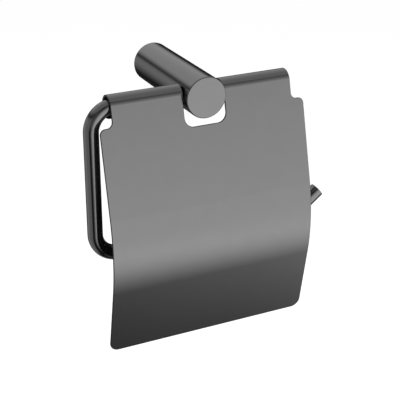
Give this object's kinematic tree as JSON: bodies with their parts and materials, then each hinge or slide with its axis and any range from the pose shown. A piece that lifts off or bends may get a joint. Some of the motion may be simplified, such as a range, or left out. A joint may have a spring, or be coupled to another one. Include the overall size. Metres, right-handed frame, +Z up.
{
  "type": "toilet paper holder",
  "caption": "Wall toilet paper holder: round post, open-ended bent roll arm with upturned tip, and folded sheet cover hinged on the arm.",
  "frame": {"origin": "the middle of the post's wall end, on the face of the wall bracket that rests on the wall", "axes": "+X to the right as seen from the room, towards the open end of the roll arm; +Y into the wall; +Z up"},
  "size_m": [0.1388, 0.0802, 0.1433],
  "materials": {
    "zinc_bracket": "die-cast zinc, dull",
    "gunmetal_turned": "dark gunmetal coating on turned steel, satin",
    "gunmetal_rod": "dark gunmetal coating on bent steel rod, satin",
    "gunmetal_sheet": "dark gunmetal coating on brushed sheet steel, satin",
    "black_screw_steel": "blackened hexagon socket set screws",
    "nylon_sleeve": "black nylon tube"
  },
  "bodies": {
    "post_and_arm": {"wall_bracket": "zinc_bracket", "post": "gunmetal_turned", "post_set_screw": "black_screw_steel", "roll_arm": "gunmetal_rod", "arm_set_screw": "black_screw_steel", "hinge_sleeves": "nylon_sleeve"},
    "cover": {"cover": "gunmetal_sheet"}
  },
  "joints": [
    {"name": "cover_hinge", "type": "hinge", "parent": "post_and_arm", "child": "cover", "pos_m": [0, -0.0591, 0], "axis": [-1, 0, 0], "range_deg": [-11, 195]}
  ]
}
